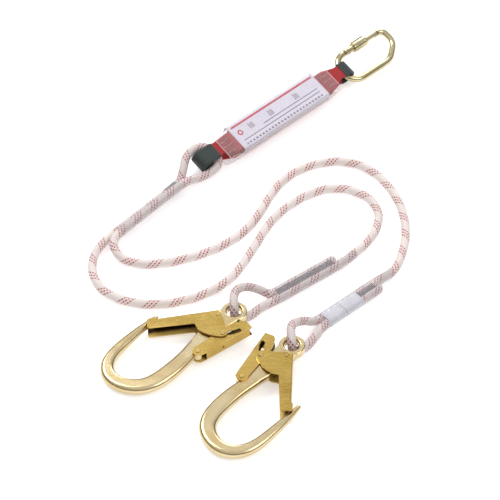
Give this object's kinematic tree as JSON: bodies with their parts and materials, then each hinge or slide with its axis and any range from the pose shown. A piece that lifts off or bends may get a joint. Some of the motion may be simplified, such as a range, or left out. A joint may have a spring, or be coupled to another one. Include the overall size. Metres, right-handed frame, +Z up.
{
  "type": "shock absorbing lanyard",
  "caption": "Twin-leg rope lanyard with a sleeved tear-webbing energy absorber, a screw-lock oval karabiner and large double-action scaffold hooks.",
  "frame": {"origin": "bottom centre of the box round the absorber, karabiner and hooks, on the floor", "axes": "+Z up from the floor the lanyard lies on, +Y from the hooks towards the karabiner's end"},
  "size_m": [0.4437, 0.8358, 0.038],
  "materials": {
    "rope_sheath": "braided polyamide, white with red tracer marks",
    "clear_tube": "clear heat-shrink tube",
    "clear_cover": "clear heat-shrink cover",
    "grey_thread": "dark grey sewing thread",
    "dark_thread": "dark red sewing thread",
    "white_label": "printed paper, blank",
    "label_card": "white label with a red stripe, no lettering",
    "red_webbing": "woven polyester webbing",
    "sleeve_webbing": "dark tubular wear sleeve",
    "karabiner_gold": "yellow zinc plated steel",
    "forged_gold": "pale yellow zinc plated forging",
    "sheet_gold": "yellow zinc plated sheet steel",
    "spring_steel": "spring steel",
    "rivet_steel": "plated steel"
  },
  "bodies": {
    "lanyard": {"tear_webbing": "red_webbing", "karabiner_loop": "red_webbing", "rope_loop": "red_webbing", "karabiner_wear_sleeve": "sleeve_webbing", "rope_wear_sleeve": "sleeve_webbing", "karabiner_loop_stitching": "dark_thread", "rope_loop_stitching": "dark_thread", "shrink_cover": "clear_cover", "label_card": "label_card", "rope": "rope_sheath", "y_shrink_tube": "clear_tube", "y_stitching": "grey_thread", "splice_tube_1": "clear_tube", "splice_tube_2": "clear_tube", "splice_stitching_1": "grey_thread", "splice_stitching_2": "grey_thread", "marking_label": "white_label"},
    "karabiner": {"karabiner_body": "karabiner_gold", "karabiner_gate_rivet": "spring_steel"},
    "karabiner_gate": {"karabiner_gate": "karabiner_gold", "karabiner_nose_pin": "spring_steel", "karabiner_gate_spring": "spring_steel", "karabiner_spring_plunger": "spring_steel"},
    "screw_sleeve": {"karabiner_screw_sleeve": "karabiner_gold"},
    "hook_1": {"hook_1_body": "forged_gold", "hook_1_gate_rivet": "rivet_steel", "hook_1_lever_rivet": "rivet_steel"},
    "hook_1_gate": {"hook_1_gate": "sheet_gold", "hook_1_lock_pin": "rivet_steel", "hook_1_gate_spring": "spring_steel"},
    "hook_1_lever": {"hook_1_lever": "sheet_gold", "hook_1_lever_spring": "spring_steel"},
    "hook_2": {"hook_2_body": "forged_gold", "hook_2_gate_rivet": "rivet_steel", "hook_2_lever_rivet": "rivet_steel"},
    "hook_2_gate": {"hook_2_gate": "sheet_gold", "hook_2_lock_pin": "rivet_steel", "hook_2_gate_spring": "spring_steel"},
    "hook_2_lever": {"hook_2_lever": "sheet_gold", "hook_2_lever_spring": "spring_steel"}
  },
  "joints": [
    {"name": "karabiner_swing", "type": "hinge", "parent": "lanyard", "child": "karabiner", "pos_m": [0.12736, 0.32968, 0.01742], "axis": [-0.6575, 0.6714, 0.342], "range_deg": [-100, 45]},
    {"name": "karabiner_gate_hinge", "type": "hinge", "parent": "karabiner", "child": "karabiner_gate", "pos_m": [0.13277, 0.36589, 0.02545], "axis": [0.2393, -0.2444, 0.9397], "range_deg": [-22, 0], "stiffness_Nm_per_rad": 0.05, "springref_deg": 11.46},
    {"name": "screw_sleeve_travel", "type": "slide", "parent": "karabiner_gate", "child": "screw_sleeve", "axis": [0.7145, 0.6997, 0], "range_m": [0, 0.0235]},
    {"name": "hook_1_swivel", "type": "hinge", "parent": "lanyard", "child": "hook_1", "pos_m": [-0.03039, -0.16984, 0.01963], "axis": [0, 0, 1], "range_deg": [-15, 15]},
    {"name": "hook_1_gate_hinge", "type": "hinge", "parent": "hook_1", "child": "hook_1_gate", "pos_m": [-0.0516, -0.17935, 0.0183], "axis": [0.046, 0.0374, -0.9982], "range_deg": [-35, 0], "stiffness_Nm_per_rad": 0.12, "springref_deg": 20.05},
    {"name": "hook_1_lever_hinge", "type": "hinge", "parent": "hook_1", "child": "hook_1_lever", "pos_m": [-0.07774, -0.24183, 0.01475], "axis": [0.046, 0.0374, -0.9982], "range_deg": [-5, 0]},
    {"name": "hook_2_swivel", "type": "hinge", "parent": "lanyard", "child": "hook_2", "pos_m": [0.04629, -0.232, 0.01862], "axis": [0, 0, 1], "range_deg": [-15, 15]},
    {"name": "hook_2_gate_hinge", "type": "hinge", "parent": "hook_2", "child": "hook_2_gate", "pos_m": [0.03921, -0.25415, 0.0174], "axis": [-0.0292, -0.0455, 0.9985], "range_deg": [-35, 0], "stiffness_Nm_per_rad": 0.12, "springref_deg": 20.05},
    {"name": "hook_2_lever_hinge", "type": "hinge", "parent": "hook_2", "child": "hook_2_lever", "pos_m": [-0.01997, -0.28713, 0.01417], "axis": [-0.0292, -0.0455, 0.9985], "range_deg": [-5, 0]}
  ],
  "couplings": [
    {"joint": "hook_1_lever_hinge", "follows": "hook_1_gate_hinge", "ratio": 0.14286},
    {"joint": "hook_2_lever_hinge", "follows": "hook_2_gate_hinge", "ratio": 0.14286}
  ]
}
